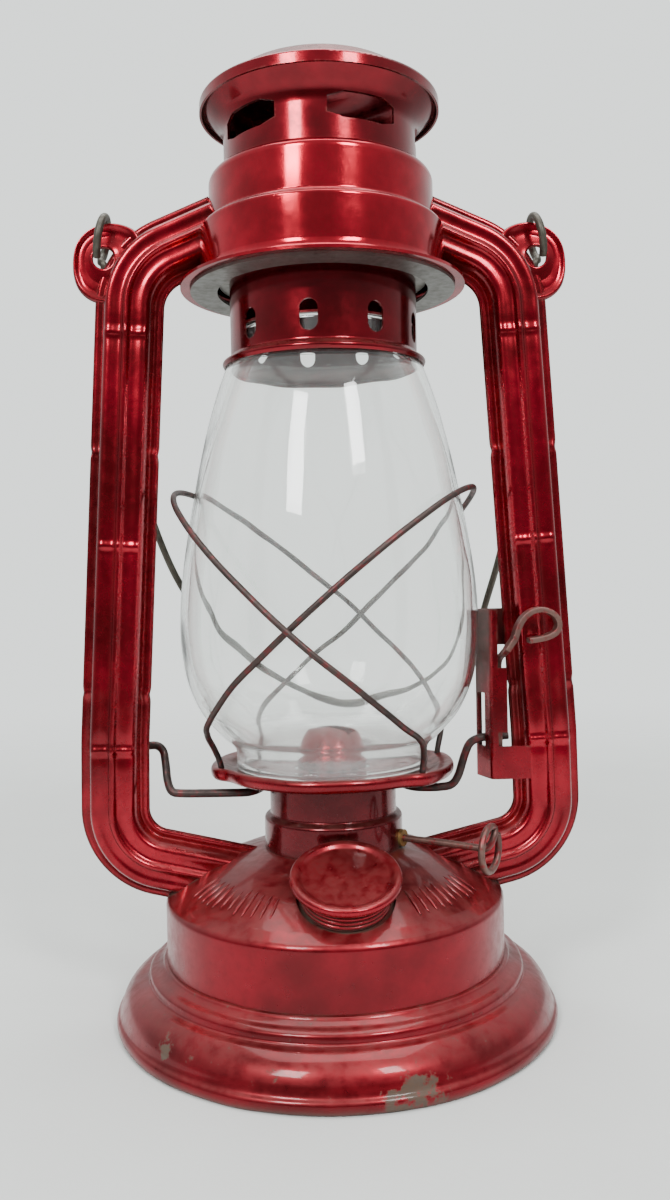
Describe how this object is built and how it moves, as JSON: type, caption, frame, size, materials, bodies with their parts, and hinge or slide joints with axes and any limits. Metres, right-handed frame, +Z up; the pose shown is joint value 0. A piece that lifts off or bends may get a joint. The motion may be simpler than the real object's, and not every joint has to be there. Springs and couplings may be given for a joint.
{
  "type": "hurricane lantern",
  "caption": "Tubular hurricane lantern: round tank and skirt, two side tubes, glass globe in a wire guard on a lifting plate, perforated hood, canopy, capped chimney and wire bail.",
  "frame": {"origin": "centre of the base's underside, on the surface it stands on", "axes": "+Z up along the lantern, +X to its right, -Y to its front, the filler side"},
  "size_m": [0.1424, 0.1244, 0.267],
  "materials": {
    "red_lacquer": "candy-red lacquer over bright tinplate, worn and dusty",
    "dark_wire": "dark lacquered wire, worn",
    "bail_wire": "tarnished steel wire",
    "worn_lever": "steel strip with its lacquer worn off",
    "bare_tinplate": "bare, smudged tinplate",
    "burner_brass": "dull brass",
    "spring_steel": "dull steel",
    "gasket": "rubber washer",
    "wick_cotton": "flat woven cotton",
    "clear_glass": "clear pressed glass, dusty"
  },
  "bodies": {
    "frame": {"base_skirt": "red_lacquer", "fount_shell": "red_lacquer", "fount_floor": "bare_tinplate", "filler_neck": "red_lacquer", "left_tube_front": "red_lacquer", "left_tube_rear": "red_lacquer", "right_tube_front": "red_lacquer", "right_tube_rear": "red_lacquer", "canopy_drum": "red_lacquer", "canopy_floor": "bare_tinplate", "hood_spring": "spring_steel", "burner_collar": "red_lacquer", "burner_base": "burner_brass", "burner_gallery": "burner_brass", "burner_cone": "red_lacquer", "wick_tube": "burner_brass", "winder_bush": "burner_brass", "lift_bracket": "red_lacquer", "lift_clip": "red_lacquer"},
    "carriage": {"globe_plate": "red_lacquer", "guard_wire_left": "dark_wire", "guard_wire_right": "dark_wire", "globe": "clear_glass"},
    "crown": {"hood": "red_lacquer", "spring_retainer": "spring_steel", "chimney": "red_lacquer", "chimney_cap": "red_lacquer", "chimney_baffle": "bare_tinplate"},
    "lift_lever": {"lift_lever": "worn_lever"},
    "lift_wire": {"lift_wire": "dark_wire"},
    "bail": {"bail": "bail_wire"},
    "cap_seal": {"filler_gasket": "gasket"},
    "filler_cap": {"filler_cap": "red_lacquer"},
    "winder": {"winder_shaft": "worn_lever", "wick_wheel": "burner_brass"},
    "wick": {"wick": "wick_cotton"}
  },
  "joints": [
    {"name": "bail_swing", "type": "hinge", "parent": "frame", "child": "bail", "pos_m": [0, 0, 0.21937], "axis": [1, 0, 0], "range_deg": [0, 310]},
    {"name": "globe_lift", "type": "slide", "parent": "frame", "child": "carriage", "axis": [0, 0, 1], "range_m": [0, 0.0085]},
    {"name": "lever_slide", "type": "slide", "parent": "frame", "child": "lift_lever", "axis": [0, 0, 1], "range_m": [0, 0.0111]},
    {"name": "wire_tilt", "type": "hinge", "parent": "frame", "child": "lift_wire", "pos_m": [-0.055, 0.01, 0.0752], "axis": [0, -1, 0], "range_deg": [0, 6.2]},
    {"name": "crown_raise", "type": "slide", "parent": "carriage", "child": "crown", "axis": [0, 0, 1], "range_m": [0, 0.0105], "stiffness_N_per_m": 150, "springref_m": -0.01, "deforming": ["hood_spring"]},
    {"name": "cap_rise", "type": "slide", "parent": "frame", "child": "cap_seal", "axis": [0, -0.3746, 0.9272], "range_m": [0, 0.0066]},
    {"name": "cap_turn", "type": "hinge", "parent": "cap_seal", "child": "filler_cap", "pos_m": [0.0012, -0.036, 0.0488], "axis": [0, -0.3746, 0.9272], "range_deg": [0, 1085]},
    {"name": "winder_turn", "type": "hinge", "parent": "frame", "child": "winder", "pos_m": [0.00249, 0.00369, 0.05], "axis": [0.829, -0.5592, 0], "range_deg": [-144, 180]},
    {"name": "wick_slide", "type": "slide", "parent": "frame", "child": "wick", "axis": [0, 0, 1], "range_m": [-0.01, 0.008]}
  ],
  "couplings": [
    {"joint": "lever_slide", "follows": "globe_lift", "ratio": 1.287},
    {"joint": "wire_tilt", "follows": "globe_lift", "rad_per_m": 12.5},
    {"joint": "cap_turn", "follows": "cap_rise", "rad_per_m": 2856},
    {"joint": "winder_turn", "follows": "wick_slide", "rad_per_m": -312.5}
  ]
}
